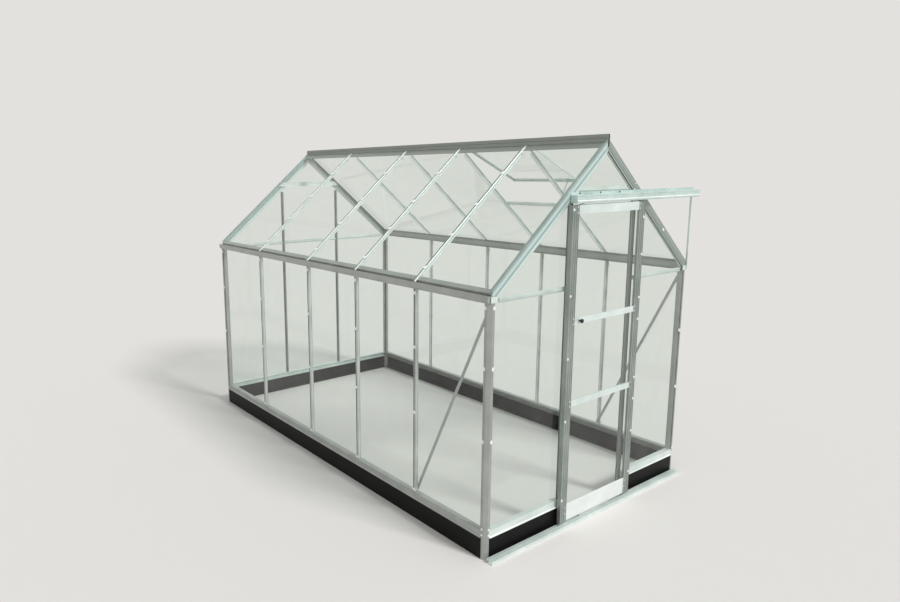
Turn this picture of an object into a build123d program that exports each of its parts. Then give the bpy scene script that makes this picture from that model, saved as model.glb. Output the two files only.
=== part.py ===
import os
from math import atan2, cos, degrees, hypot, radians, sin, tan

from build123d import *

# Greenhouse of aluminium sections and single glass, in millimetres.
# X runs across the front from left to right, Y from the front gable to the rear one, Z up.
# The origin is on the ground, in the middle of the space that the greenhouse takes up.

# Overall sizes
width = 1930.0  # across the outer faces of the base
front_bay = 620.0  # spacing of the bars in the front section
front_bays = 3
rear_bay = 770.0  # spacing of the bars in the rear section
rear_bays = 2
base_height = 130.0
eave_height = 1520.0  # roof glass line above the outer face of the side wall
ridge_height = 2335.0  # where the two roof glass lines meet

# Aluminium sections
skin = 2.0  # wall of every aluminium section
seat_depth = 8.0  # from the outer face of the frame in to the glass seat
bar_width = 28.0
rib_height = 6.0
rib_gap = 8.0  # open groove between the two ribs of a bar
stem_depth = 22.0
stem_foot = 10.0

# Glass and clearances
glass = 3.0
fit = 0.3  # between pieces that seat on each other
pane_gap = 1.5  # from the edge of a pane to the rib beside it

# Base, sill and corner posts
base_flange = 40.0
sill_height = 42.0
sill_ledge = 38.0
drip = 7.0
corner_chamfer = 20.0
corner_leg = 32.0  # from the corner to the end of each outer leg
corner_rebate = 14.0

# Gutter at the eave
gutter_drop = 40.0  # from the roof glass line at the wall down to the gutter's floor
gutter_reach = 14.0  # how far it stands out beyond the base
gutter_lip_height = 40.0
gutter_curl = 4.0
gutter_round = 10.0  # outer radius between its floor and its lip
gutter_wall_inset = 15.0  # from the outer face of the base in to the gutter's inner wall
gutter_ledge = 20.0  # inner ledge over the wall bars
eave_wing = 22.0  # sloping wing that carries the roof bars
glass_overhang = -8.0  # of the roof glass past the face of the base

# Ridge
ridge_half = 8.0
ridge_above = 37.0
ridge_below = 38.0
ridge_wing = 34.0
bead_radius = 4.0
bead_height = 17.0

# Gable ends
gable_face = 45.0  # depth of the edge bar's front face below the roof glass line
gable_upstand = 8.0
gable_setback = 1.5
gable_lip = 18.0
post_spacing = 620.0  # between the two door posts, and the two rear posts
rail_rise = 24.0  # from the top of the track's channel to the middle of the cross rail
rail_height = 40.0
rail_lip = 15.0

# Sliding door
door_overlap = 45.0  # past the centre line of each post
door_depth = 22.0
door_bottom = 34.0
door_headroom = 364.0  # from where the roof glass lines meet down to the top of the door
door_setoff = 13.0  # from the face of the greenhouse to the back of the door
stile_width = 57.0
stile_tube = 43.0
stile_rib = 2.5  # how far the four ribs stand out from the face of a stile
glass_lap = 7.0  # by which the middle rails cover the panes
top_rail_height = 52.0
middle_rail_height = 38.0
middle_rail_centre = 1295.0
lower_rail_centre = 792.0
kick_height = 116.0
kick_rail = 42.0
kick_bead = 4.0
kick_roll = 11.0  # radius of the rolled bottom edge
knob_radius = 13.0
knob_length = 24.0
knob_neck = 6.0
knob_bevel = 3.0
knob_inset = 105.0  # from the outer edge of the door's left stile
hanger_inset = 105.0  # from the side of the door to the middle of a hanger
hanger_width = 44.0
hanger_plate = 3.0
wheel_radius = 10.0
wheel_thickness = 6.0
wheel_spacing = 22.0
axle_radius = 3.0

# Door track above and floor track below
track_setback = 23.0  # of the track's left end behind the left side of the door
track_overrun = 2.0  # past the outer edge of the right gutter
track_gap = 9.0  # from the top of the door up to the track
track_height = 46.0
track_flange = 16.0  # how far the back plate rises above the track body
track_depth = 46.0
track_slot = 14.0
track_bead = 5.0
strut_width = 22.0
strut_inset = 8.0
strut_leg = 8.0  # of its angle, under the track
floor_track_depth = 56.0
floor_track_lip = 22.0
guide_height = 26.0
guide_gap = 14.0
fin_depth = 20.0  # how far the door's guide fin reaches below the door
fin_length = 300.0
fin_thickness = 3.0

# Wall braces
brace_width = 20.0
brace_drop = 50.0  # from the gutter's floor down to the brace's upper end
brace_rise = 14.0  # from the sill up to its lower end

# Roof vent
vent_length = 632.0
vent_opening = 15.5  # angle at which it stands open from the roof
vent_rail = 26.0
vent_bottom_rail = 34.0
vent_depth = 12.0
vent_sill_gap = 30.0  # from the length of the vent to the middle of its sill, along the roof
vent_sill_width = 30.0
vent_side_gap = 4.0
vent_web_start = 20.0  # from the hinge to the frame's upper web
vent_sill_upstand = 12.0
stay_width = 14.0
stay_tail = 70.0  # past the lower pin
stay_thickness = 3.0
stay_place = 95.0  # from the bar on the front side of the vent
stay_hole = 3.0
stay_hole_spacing = 40.0
stay_pin_rise = 7.0  # of the lower pin above the roof glass line

# Worked out from the sizes above
half = width / 2
length = front_bays * front_bay + rear_bays * rear_bay
front_reach = floor_track_depth + fit
front = -(length - front_reach) / 2
rear = front + length
pitch = atan2(ridge_height - eave_height, half)
seat = half - seat_depth
gutter_floor_height = eave_height - gutter_drop
sill_top = base_height + sill_height
pane_edge = rib_gap / 2 + skin + pane_gap
bar_lines = [front + front_bay * n for n in range(1, front_bays + 1)]
bar_lines += [bar_lines[-1] + rear_bay * n for n in range(1, rear_bays)]
wall_bottom = sill_top + fit
wall_top = gutter_floor_height - fit
gutter_wall = half - gutter_wall_inset
gutter_edge = half + gutter_reach
roof_run = half / cos(pitch)
post_line = post_spacing / 2
side_start = front + corner_leg + fit
side_end = rear - corner_leg - fit
tie_height = wall_top + pane_edge
flange_drop = gable_face + gable_lip - skin
pane_drop = gable_face - gable_lip + pane_gap
door_width = post_spacing + 2 * door_overlap
door_top = ridge_height - door_headroom
door_back = front - door_setoff
door_front = door_back - door_depth
door_middle = (door_back + door_front) / 2
track_bottom = door_top + track_gap
track_top = track_bottom + track_height
track_left = door_width / 2 - track_setback
track_right = gutter_edge + track_overrun
rail_centre = track_top + rail_rise


def roof_line(x, drop=0.0):
    """Height of the roof glass line at a distance from the middle, or of a line a drop below it."""
    return ridge_height - abs(x) * tan(pitch) - drop / cos(pitch)


def roof_reach(z, drop=0.0):
    """Distance from the middle at which the roof glass line, or a line below it, has this height."""
    return (ridge_height - drop / cos(pitch) - z) / tan(pitch)


def bar_face():
    """Outer part of a glazing bar: a flange for the glass and two ribs with a groove between."""
    Rectangle(bar_width, skin, align=(Align.CENTER, Align.MAX))
    rib_line = (rib_gap + skin) / 2
    with Locations((-rib_line, 0), (rib_line, 0)):
        Rectangle(skin, rib_height, align=(Align.CENTER, Align.MIN))


def bar_stem():
    """Inner part of a glazing bar: a stem with a foot that takes the bolts."""
    with Locations((0, -skin)):
        Rectangle(skin, stem_depth - skin, align=(Align.CENTER, Align.MAX))
    with Locations((0, -stem_depth)):
        Rectangle(stem_foot, skin, align=(Align.CENTER, Align.MAX))


def add_bar(start, run, stem_from=0.0, stem_to=0.0):
    """A glazing bar along the Z of a plane that has Y to the outside and its origin on the glass seat."""
    with BuildSketch(start) as face:
        bar_face()
    extrude(face.sketch, amount=run)
    with BuildSketch(start.offset(stem_from)) as stem:
        bar_stem()
    extrude(stem.sketch, amount=run - stem_from - stem_to)


def gable_seat(face):
    """The glass seat of the front (-1) or rear (1) gable."""
    return front + seat_depth if face < 0 else rear - seat_depth


def wall_plane(side, y, z):
    """Section of an upright bar in the left (-1) or right (1) wall."""
    return Plane(origin=(side * seat, y, z), x_dir=(0, -side, 0), z_dir=(0, 0, 1))


def roof_plane(side, y, x):
    """Section of a piece that rises with the roof from a distance x off the middle."""
    rise = (-side * cos(pitch), 0, sin(pitch))
    return Plane(origin=(side * x, y, roof_line(x)), x_dir=(0, -side, 0), z_dir=rise)


def gable_plane(face, x, z):
    """Section of an upright bar in the front or rear gable."""
    return Plane(origin=(x, gable_seat(face), z), x_dir=(face, 0, 0), z_dir=(0, 0, 1))


def side_section(side, start, stop):
    """Cross-section of a piece along a long wall, X to the outside and Y up, at its extruded end."""
    y = stop if side > 0 else start
    return Plane(origin=(side * half, y, 0), x_dir=(side, 0, 0), z_dir=(0, -side, 0))


def gable_section(face, low, high):
    """Cross-section of a piece along a gable, X to the outside and Y up, at its extruded end."""
    x = low if face > 0 else high
    y = front if face < 0 else rear
    return Plane(origin=(x, y, 0), x_dir=(0, face, 0), z_dir=(face, 0, 0))


def gable_view(face, depth=0.0):
    """Upright plane of a gable, X across and Y up, at a depth behind its outer face."""
    y = front + depth if face < 0 else rear - depth
    return Plane(origin=(0, y, 0), x_dir=(1, 0, 0), z_dir=(0, -1, 0))


def write(part, name):
    """Label a finished piece and write it."""
    part.label = name
    export_step(part, f"parts/{name}.step")


def inward(face):
    """Alignment along Y of a box that starts on the front (-1) or rear (1) face and reaches inwards."""
    return Align.MIN if face < 0 else Align.MAX


def outward(side):
    """Alignment along X of a box that reaches to the left (-1) or to the right (1)."""
    return Align.MIN if side > 0 else Align.MAX


os.makedirs("parts", exist_ok=True)


# Base: a black plinth of folded channel, open at the doorway
def base_section():
    Rectangle(skin, base_height, align=(Align.MAX, Align.MIN))
    Rectangle(base_flange, skin, align=(Align.MAX, Align.MIN))
    with Locations((0, base_height)):
        Rectangle(base_flange, skin, align=(Align.MAX, Align.MAX))


# Sill: a channel with a ledge for the glass, a foot on the base and a drip edge outside
def sill_section():
    foot = base_height + fit
    with Locations((0, foot)):
        Rectangle(skin, sill_height - fit, align=(Align.MAX, Align.MIN))
        Rectangle(sill_ledge, skin, align=(Align.MAX, Align.MIN))
    with Locations((0, sill_top)):
        Rectangle(sill_ledge, skin, align=(Align.MAX, Align.MAX))
    Polygon(
        (-skin / 2, foot + drip + skin),
        (drip, foot + skin),
        (drip, foot),
        (drip - skin, foot),
        (-skin / 2, foot + drip - skin),
        align=None,
    )


doorway = post_line + bar_width / 2 + fit
gable_end = half - corner_leg - fit
flange_end = half - base_flange - fit

for side, place in ((-1, "left"), (1, "right")):
    for section, name in ((base_section, "base"), (sill_section, "sill")):
        with BuildPart() as side_piece:
            with BuildSketch(side_section(side, side_start, side_end)):
                section()
            extrude(amount=side_end - side_start)
        write(side_piece.part, f"{name}_{place}")

# The gable pieces: the web runs on to the corner posts, the flanges stop at those of the side pieces
spans = {-1: ((-gable_end, -doorway), (doorway, gable_end)), 1: ((-gable_end, gable_end),)}
for face, place in ((-1, "front"), (1, "rear")):
    for section, name in ((base_section, "base"), (sill_section, "sill")):
        with BuildPart() as gable_piece:
            for low, high in spans[face]:
                with BuildSketch(gable_section(face, low, high)):
                    section()
                extrude(amount=high - low)
            for side in (-1, 1):
                with Locations((side * flange_end, gable_view(face, skin).origin.Y, 0)):
                    Box(half, half, half, align=(outward(side), inward(face), Align.MIN), mode=Mode.SUBTRACT)
        write(gable_piece.part, f"{name}_{place}")


# Corner posts: a chamfered angle from the ground to the gutter, stepped in to a rebate for each pane,
# with a stem and a foot behind each rebate
def add_corner_post(side, face):
    y = front if face < 0 else rear
    corner = Plane(origin=(side * half, y, 0), x_dir=(-side, 0, 0), z_dir=(0, 0, side * face))
    up = side * face
    reach = corner_leg + corner_rebate
    post_foot = stem_foot - skin
    inner_bend = corner_chamfer + skin * tan(radians(45) / 2)
    with BuildSketch(corner) as angle:
        Polygon(
            (corner_chamfer, 0),
            (corner_leg, 0),
            (corner_leg, skin),
            (inner_bend, skin),
            (skin, inner_bend),
            (skin, corner_leg),
            (0, corner_leg),
            (0, corner_chamfer),
            align=None,
        )
    extrude(angle.sketch, amount=up * wall_top)
    with BuildSketch(corner.offset(up * wall_bottom)) as rebates:
        with Locations((corner_leg, 0)):
            Rectangle(skin, seat_depth + skin, align=(Align.MAX, Align.MIN))
        with Locations((corner_leg - skin, seat_depth)):
            Rectangle(corner_rebate + skin, skin, align=(Align.MIN, Align.MIN))
        with Locations((reach, seat_depth)):
            Rectangle(skin, stem_depth + skin, align=(Align.MAX, Align.MIN))
        with Locations((reach, seat_depth + stem_depth)):
            Rectangle(post_foot, skin, align=(Align.MAX, Align.MIN))
        with Locations((0, corner_leg)):
            Rectangle(seat_depth + skin, skin, align=(Align.MIN, Align.MAX))
        with Locations((seat_depth, corner_leg - skin)):
            Rectangle(skin, corner_rebate + skin, align=(Align.MIN, Align.MIN))
        with Locations((seat_depth, reach)):
            Rectangle(stem_depth + skin, skin, align=(Align.MIN, Align.MAX))
        with Locations((seat_depth + stem_depth, reach)):
            Rectangle(skin, post_foot, align=(Align.MIN, Align.MAX))
    extrude(rebates.sketch, amount=up * (wall_top - wall_bottom))


for face, place in ((-1, "front"), (1, "rear")):
    with BuildPart() as corner_posts:
        for side in (-1, 1):
            add_corner_post(side, face)
    write(corner_posts.part, f"{place}_corner_posts")

# Wall bars
for side, place in ((-1, "left"), (1, "right")):
    with BuildPart() as wall_bars:
        for y in bar_lines:
            add_bar(wall_plane(side, y, wall_bottom), wall_top - wall_bottom)
    write(wall_bars.part, f"{place}_wall_bars")


# Gutters: eave beam and gutter in one section, closed at both ends
def gutter_section():
    floor = gutter_floor_height
    wall = -gutter_wall_inset
    wing = roof_line(gutter_wall, skin + fit)
    with Locations((gutter_reach - gutter_round, floor + gutter_round)):
        Circle(gutter_round)
        Circle(gutter_round - skin, mode=Mode.SUBTRACT)
        Rectangle(2 * gutter_round, gutter_round, align=(Align.CENTER, Align.MIN), mode=Mode.SUBTRACT)
        Rectangle(gutter_round, 2 * gutter_round, align=(Align.MAX, Align.CENTER), mode=Mode.SUBTRACT)
    with Locations((wall - gutter_ledge, floor)):
        floor_width = gutter_ledge + gutter_wall_inset + gutter_reach - gutter_round
        Rectangle(floor_width, skin, align=(Align.MIN, Align.MIN))
    with Locations((gutter_reach, floor + gutter_round)):
        Rectangle(skin, gutter_lip_height - gutter_round, align=(Align.MAX, Align.MIN))
    with Locations((gutter_reach, floor + gutter_lip_height)):
        Rectangle(gutter_curl, skin, align=(Align.MAX, Align.MAX))
    rise = eave_wing * tan(pitch)
    Polygon(
        (wall, floor),
        (wall, wing),
        (wall - eave_wing, wing + rise),
        (wall - eave_wing, wing + rise - skin / cos(pitch)),
        (wall - skin, wing - skin / cos(pitch)),
        (wall - skin, floor),
        align=None,
    )
    with Locations((skin, floor - gutter_curl)):
        Rectangle(skin, gutter_curl + skin, align=(Align.MIN, Align.MIN))


gutter_start = front + gable_setback + skin + fit
gutter_end = rear - gable_setback - skin - fit

for side, place in ((-1, "left"), (1, "right")):
    with BuildPart() as gutter:
        with BuildSketch(side_section(side, gutter_start, gutter_end)):
            gutter_section()
        extrude(amount=gutter_end - gutter_start)
        for start in (gutter_start, gutter_end - skin):
            with BuildSketch(side_section(side, start, start + skin)) as cap:
                with Locations((-gutter_wall_inset, gutter_floor_height)):
                    Rectangle(
                        gutter_reach + gutter_wall_inset,
                        gutter_lip_height - gutter_curl,
                        align=(Align.MIN, Align.MIN),
                    )
                outer_foot = cap.vertices().group_by(Axis.X)[-1].sort_by(Axis.Y)[0]
                fillet(outer_foot, radius=gutter_round)
            extrude(amount=skin)
    write(gutter.part, f"{place}_gutter")

# Ridge: a hollow bar with a hinge bead on each side, in two lengths, with sloping wings for the roof bars
ridge_joint = front + front_bays * front_bay
ridge_low = ridge_height - ridge_below
bead_line = ridge_half + bead_radius / 2
bead_centre = ridge_height + bead_height
wing_start = front + gable_setback + skin + fit
wing_end = rear - gable_setback - skin - fit


def wing_section():
    root = ridge_half - skin / 2
    tip = ridge_half + ridge_wing
    drop = skin + fit
    for side in (-1, 1):
        Polygon(
            (side * root, roof_line(root, drop)),
            (side * tip, roof_line(tip, drop)),
            (side * tip, roof_line(tip, drop + skin)),
            (side * root, roof_line(root, drop + skin)),
            align=None,
        )


ridge_lengths = (
    (front, ridge_joint - fit / 2, wing_start, ridge_joint - fit / 2),
    (ridge_joint + fit / 2, rear, ridge_joint + fit / 2, wing_end),
)
with BuildPart() as ridge:
    for start, stop, wing_from, wing_to in ridge_lengths:
        with BuildSketch(Plane(origin=(0, stop, 0), x_dir=(1, 0, 0), z_dir=(0, -1, 0))):
            with Locations((0, ridge_low)):
                Rectangle(2 * ridge_half, ridge_below + ridge_above, align=(Align.CENTER, Align.MIN))
            with Locations((-bead_line, bead_centre), (bead_line, bead_centre)):
                Circle(bead_radius)
            with Locations((0, ridge_low + skin)):
                Rectangle(
                    2 * (ridge_half - skin),
                    ridge_below + ridge_above - 2 * skin,
                    align=(Align.CENTER, Align.MIN),
                    mode=Mode.SUBTRACT,
                )
        extrude(amount=stop - start)
        with BuildSketch(Plane(origin=(0, wing_to, 0), x_dir=(1, 0, 0), z_dir=(0, -1, 0))):
            wing_section()
        extrude(amount=wing_to - wing_from)
write(ridge.part, "ridge")

# Roof bars: from the gutter's inner wall to the ridge
ridge_side = ridge_half + fit
bar_run = (half - ridge_side) / cos(pitch)
stem_low = (gutter_wall_inset + eave_wing + fit) / cos(pitch) + stem_depth * tan(pitch)
stem_high = (ridge_wing + fit) / cos(pitch) + stem_depth * tan(pitch)

for side, place in ((-1, "left"), (1, "right")):
    with BuildPart() as roof_bars:
        for y in bar_lines:
            add_bar(roof_plane(side, y, half), bar_run, stem_low, stem_high)
        split(bisect_by=Plane.YZ.offset(side * ridge_side), keep=Keep.TOP if side > 0 else Keep.BOTTOM)
    write(roof_bars.part, f"{place}_roof_bars")


# Gable bars: the ribbed edge bars that follow the roof and hold both the roof glass and the gable glass
def gable_bar_section(turn):
    across = Align.MIN if turn > 0 else Align.MAX
    face_line = turn * gable_setback
    outer = seat_depth + skin
    with Locations((face_line, gable_upstand)):
        Rectangle(skin, gable_upstand + gable_face, align=(across, Align.MAX))
    with Locations((face_line, 0)):
        Rectangle(bar_width, skin, align=(across, Align.MAX))
    with Locations((face_line, gable_lip - gable_face)):
        Rectangle(outer - gable_setback, skin, align=(across, Align.MIN))
    with Locations((turn * seat_depth, gable_lip + skin - gable_face)):
        Rectangle(skin, 2 * gable_lip, align=(across, Align.MAX))
    with Locations((0, -gable_face / 3), (0, -2 * gable_face / 3)):
        Rectangle(gable_setback + skin / 2, skin, align=(across, Align.MAX))


gable_bar_foot = gutter_floor_height + skin + fit
gable_bar_end = gutter_wall - skin - fit
deep = 2 * length
for face, place in ((-1, "front"), (1, "rear")):
    with BuildPart() as gable_bars:
        with BuildSketch(roof_plane(1, front if face < 0 else rear, half + gable_face)):
            gable_bar_section(face)
        extrude(amount=roof_run + gable_face / cos(pitch))
        with Locations((half, 0, gable_bar_foot)):
            Box(width, deep, half, align=(Align.CENTER, Align.CENTER, Align.MAX), mode=Mode.SUBTRACT)
        with Locations((gable_bar_end, 0, ridge_height)):
            Box(half, deep, ridge_height, align=(Align.MIN, Align.CENTER, Align.CENTER), mode=Mode.SUBTRACT)
        with Locations((fit / 2, 0, ridge_height)):
            Box(half, deep, ridge_height, align=(Align.MAX, Align.CENTER, Align.CENTER), mode=Mode.SUBTRACT)
        with Locations((ridge_side, 0, ridge_low - fit)):
            Box(half, deep, half, align=(Align.MAX, Align.CENTER, Align.MIN), mode=Mode.SUBTRACT)
        mirror(about=Plane.YZ)
    write(gable_bars.part, f"{place}_gable_bars")

# Door posts, which stand on the ground, and rear posts on the sill
post_top = roof_line(post_line + bar_width / 2, flange_drop) - fit
for face, low, name in ((-1, 0.0, "door_posts"), (1, wall_bottom, "rear_posts")):
    with BuildPart() as posts:
        for x in (-post_line, post_line):
            add_bar(gable_plane(face, x, low), post_top - low)
    write(posts.part, name)

# Cross rails behind the gable glass: a lipped plate cut to the roof, and a ledge that carries the top pane
rail_low = rail_centre - rail_height / 2
rail_high = rail_centre + rail_height / 2
rail_depth = seat_depth + skin + fit
low_end = roof_reach(rail_low, skin + fit)
high_end = roof_reach(rail_high, skin + fit)
ledge_end = roof_reach(rail_centre, flange_drop + fit)
for face, place in ((-1, "front"), (1, "rear")):
    with BuildPart() as cross_rail:
        with BuildSketch(gable_view(face, rail_depth)):
            Polygon(
                (-low_end, rail_low),
                (low_end, rail_low),
                (high_end, rail_high),
                (-high_end, rail_high),
                align=None,
            )
        extrude(amount=face * skin)
        with BuildSketch(gable_view(face, rail_depth)):
            with Locations((0, rail_low)):
                Rectangle(2 * high_end, skin, align=(Align.CENTER, Align.MIN))
        extrude(amount=face * (skin + rail_lip))
        with BuildSketch(gable_view(face, rail_depth + skin)):
            with Locations((0, rail_centre)):
                Rectangle(2 * ledge_end, skin, align=(Align.CENTER, Align.MAX))
        extrude(amount=-face * (rail_depth + skin - seat_depth + glass))
    write(cross_rail.part, f"{place}_cross_rail")

# Eave ties: glazing bars that lie level between the corners and the posts
tie_end = roof_reach(tie_height + bar_width / 2, flange_drop + fit)
tie_start = post_line + bar_width / 2 + fit
post_side = post_line - bar_width / 2 - fit
tie_spans = {-1: ((-tie_end, -tie_start), (tie_start, tie_end))}
tie_spans[1] = tie_spans[-1] + ((-post_side, post_side),)
for face, place in ((-1, "front"), (1, "rear")):
    with BuildPart() as eave_ties:
        for low, high in tie_spans[face]:
            x = low if face < 0 else high
            tie = Plane(origin=(x, gable_seat(face), tie_height), x_dir=(0, 0, 1), z_dir=(-face, 0, 0))
            add_bar(tie, high - low)
    write(eave_ties.part, f"{place}_eave_ties")

# Wall braces: flat bars across the front bay of each long wall, bolted to the feet of the stems
brace_plane = seat - skin - stem_depth - fit
brace_from = (front + corner_leg + corner_rebate - stem_foot / 2, gutter_floor_height - brace_drop)
brace_to = (bar_lines[0], sill_top + brace_rise)
brace_run = hypot(brace_to[0] - brace_from[0], brace_to[1] - brace_from[1])
brace_lean = degrees(atan2(brace_to[1] - brace_from[1], brace_to[0] - brace_from[0]))
with BuildPart() as wall_braces:
    for side in (-1, 1):
        with BuildSketch(Plane(origin=(side * brace_plane, 0, 0), x_dir=(0, side, 0), z_dir=(side, 0, 0))):
            with Locations((side * (brace_from[0] + brace_to[0]) / 2, (brace_from[1] + brace_to[1]) / 2)):
                Rectangle(brace_run, brace_width, rotation=side * brace_lean)
        extrude(amount=-skin)
write(wall_braces.part, "wall_braces")

# Wall glass: one pane to a bay, on the seats of the bars and of the corner posts
pane_starts = [front + corner_leg + pane_gap] + [y + pane_edge for y in bar_lines]
pane_stops = [y - pane_edge for y in bar_lines] + [rear - corner_leg - pane_gap]
for side, place in ((-1, "left"), (1, "right")):
    with BuildPart() as wall_glass:
        for start, stop in zip(pane_starts, pane_stops):
            with Locations((side * (seat + fit), start, wall_bottom)):
                Box(glass, stop - start, wall_top - wall_bottom, align=(outward(side), Align.MIN, Align.MIN))
    write(wall_glass.part, f"{place}_wall_glass")

# Gable glass: side panes below and above the ties, middle panes at the rear, and the top pane
corner_pane = half - corner_leg - pane_gap
side_pane = post_line + pane_edge
middle_pane = post_line - pane_edge
upper_low = tie_height + pane_edge
upper_tip = gable_bar_end - pane_gap
upper_high = roof_line(side_pane, pane_drop)
middle_high = rail_centre - skin - pane_gap
top_low = rail_centre + fit
top_high = ridge_low - pane_gap
for face, place in ((-1, "front"), (1, "rear")):
    with BuildPart() as gable_glass:
        with BuildSketch(gable_view(face, seat_depth - fit)):
            for side in (-1, 1):
                pane_width = corner_pane - side_pane
                with Locations((side * side_pane, wall_bottom)):
                    Rectangle(pane_width, wall_top - wall_bottom, align=(outward(side), Align.MIN))
                Polygon(
                    (side * side_pane, upper_low),
                    (side * upper_tip, upper_low),
                    (side * upper_tip, roof_line(upper_tip, pane_drop)),
                    (side * side_pane, upper_high),
                    align=None,
                )
            Polygon(
                (-roof_reach(top_low, pane_drop), top_low),
                (roof_reach(top_low, pane_drop), top_low),
                (roof_reach(top_high, pane_drop), top_high),
                (-roof_reach(top_high, pane_drop), top_high),
                align=None,
            )
            if face > 0:
                with Locations((0, wall_bottom)):
                    Rectangle(2 * middle_pane, wall_top - wall_bottom, align=(Align.CENTER, Align.MIN))
                Polygon(
                    (-middle_pane, upper_low),
                    (middle_pane, upper_low),
                    (middle_pane, roof_line(middle_pane, pane_drop)),
                    (roof_reach(middle_high, pane_drop), middle_high),
                    (-roof_reach(middle_high, pane_drop), middle_high),
                    (-middle_pane, roof_line(middle_pane, pane_drop)),
                    align=None,
                )
        extrude(amount=-face * glass)
    write(gable_glass.part, f"{place}_glass")

# Roof glass: one pane to a bay from the ridge to over the gutter, and below the vent a short one
roof_starts = [front + gable_setback + skin + pane_gap] + [y + pane_edge for y in bar_lines]
roof_stops = [y - pane_edge for y in bar_lines] + [rear - gable_setback - skin - pane_gap]
vent_bay = 1
pane_foot = (half + glass_overhang) / cos(pitch)
pane_head = (ridge_side + pane_gap) / cos(pitch) + glass * tan(pitch)
vent_sill_distance = vent_length + vent_sill_gap
short_head = vent_sill_distance + vent_sill_width / 2 + pane_gap
for side, place in ((-1, "left"), (1, "right")):
    with BuildPart() as roof_glass:
        for bay, (start, stop) in enumerate(zip(roof_starts, roof_stops)):
            head = short_head if side > 0 and bay == vent_bay else pane_head
            slope = Plane(
                origin=(0, start, ridge_height),
                x_dir=(side * cos(pitch), 0, -sin(pitch)),
                z_dir=(side * sin(pitch), 0, cos(pitch)),
            )
            with BuildSketch(slope.offset(fit)) as pane:
                with Locations(((head + pane_foot) / 2, side * (stop - start) / 2)):
                    Rectangle(pane_foot - head, stop - start)
            extrude(pane.sketch, amount=glass)
    write(roof_glass.part, f"{place}_roof_glass")

# Roof vent, right slope: a frame that hooks over the ridge bead, held open by a stay
vent_start = bar_lines[vent_bay - 1]
vent_stop = bar_lines[vent_bay]
vent_middle = (vent_start + vent_stop) / 2
vent_width = vent_stop - vent_start - 2 * vent_side_gap
vent_slope = pitch - radians(vent_opening)
vent_down = (cos(vent_slope), 0, -sin(vent_slope))
vent_up = (sin(vent_slope), 0, cos(vent_slope))
hook_radius = bead_radius + fit
vent_top = Plane(origin=(bead_line, vent_middle, bead_centre), x_dir=vent_down, z_dir=vent_up)
stay_y = vent_start + stay_place
pin_radius = stay_hole - fit
pin_plate_y = stay_y + stay_thickness / 2 + fit


def vent_point(along, above):
    """X and Z of a point on the vent, from its hinge."""
    return (
        bead_line + along * vent_down[0] + above * vent_up[0],
        bead_centre + along * vent_down[2] + above * vent_up[2],
    )


def slope_point(along, above):
    """X and Z of a point on the right slope, from the ridge line."""
    return (along * cos(pitch) + above * sin(pitch), ridge_height - along * sin(pitch) + above * cos(pitch))


upper_pin = vent_point(vent_length - vent_bottom_rail / 2, -vent_depth - stay_width / 2)
lower_pin = slope_point(vent_sill_distance - vent_sill_width / 2 - stay_width, stay_pin_rise)


def side_view(y):
    """Upright plane across the greenhouse at a place along it, X across and Y up, facing the front."""
    return Plane(origin=(0, y, 0), x_dir=(1, 0, 0), z_dir=(0, -1, 0))


with BuildPart() as vent_frame:
    with BuildSketch(vent_top.offset(-skin / 2)):
        plate_start = hook_radius + skin / 2
        with Locations((plate_start, 0)):
            Rectangle(vent_length - plate_start, vent_width, align=(Align.MIN, Align.CENTER))
        with Locations((vent_web_start + vent_rail, 0)):
            Rectangle(
                vent_length - vent_web_start - vent_rail - vent_bottom_rail,
                vent_width - 2 * vent_rail,
                align=(Align.MIN, Align.CENTER),
                mode=Mode.SUBTRACT,
            )
    extrude(amount=skin)
    with BuildSketch(vent_top.offset(skin / 2)):
        with Locations((vent_web_start, 0)):
            Rectangle(vent_length - vent_web_start, vent_width, align=(Align.MIN, Align.CENTER))
        with Locations((vent_web_start + skin, 0)):
            Rectangle(
                vent_length - vent_web_start - 2 * skin,
                vent_width - 2 * skin,
                align=(Align.MIN, Align.CENTER),
                mode=Mode.SUBTRACT,
            )
    extrude(amount=-vent_depth)
    with BuildSketch(side_view(vent_middle + vent_width / 2)):
        with Locations((bead_line, bead_centre)):
            Circle(hook_radius + skin)
            Circle(hook_radius, mode=Mode.SUBTRACT)
        with Locations((ridge_side, bead_centre)):
            Rectangle(4 * hook_radius, 4 * hook_radius, align=(Align.MAX, Align.CENTER), mode=Mode.SUBTRACT)
    extrude(amount=vent_width)
    # Lug and pin that carry the top of the stay, under the bottom rail
    with BuildSketch(side_view(pin_plate_y + skin)):
        with Locations(upper_pin):
            Rectangle(stay_width, 2 * stay_width, rotation=-degrees(vent_slope))
    extrude(amount=skin)
    with BuildSketch(side_view(pin_plate_y + skin)):
        with Locations(upper_pin):
            Circle(pin_radius)
    extrude(amount=2 * skin + stay_thickness + fit)
    with BuildSketch(vent_top.offset(-vent_depth + skin / 2)):
        with Locations((vent_length - vent_bottom_rail / 2, pin_plate_y - vent_middle)):
            Rectangle(vent_bottom_rail, stay_width, align=(Align.CENTER, Align.MIN))
    extrude(amount=-skin)
write(vent_frame.part, "vent_frame")

with BuildPart() as vent_glass:
    with BuildSketch(vent_top.offset(-skin / 2 - fit)):
        with Locations((vent_web_start + skin + pane_gap, 0)):
            Rectangle(
                vent_length - vent_web_start - 2 * skin - 2 * pane_gap,
                vent_width - 2 * skin - 2 * pane_gap,
                align=(Align.MIN, Align.CENTER),
            )
    extrude(amount=-glass)
write(vent_glass.part, "vent_glass")

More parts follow.
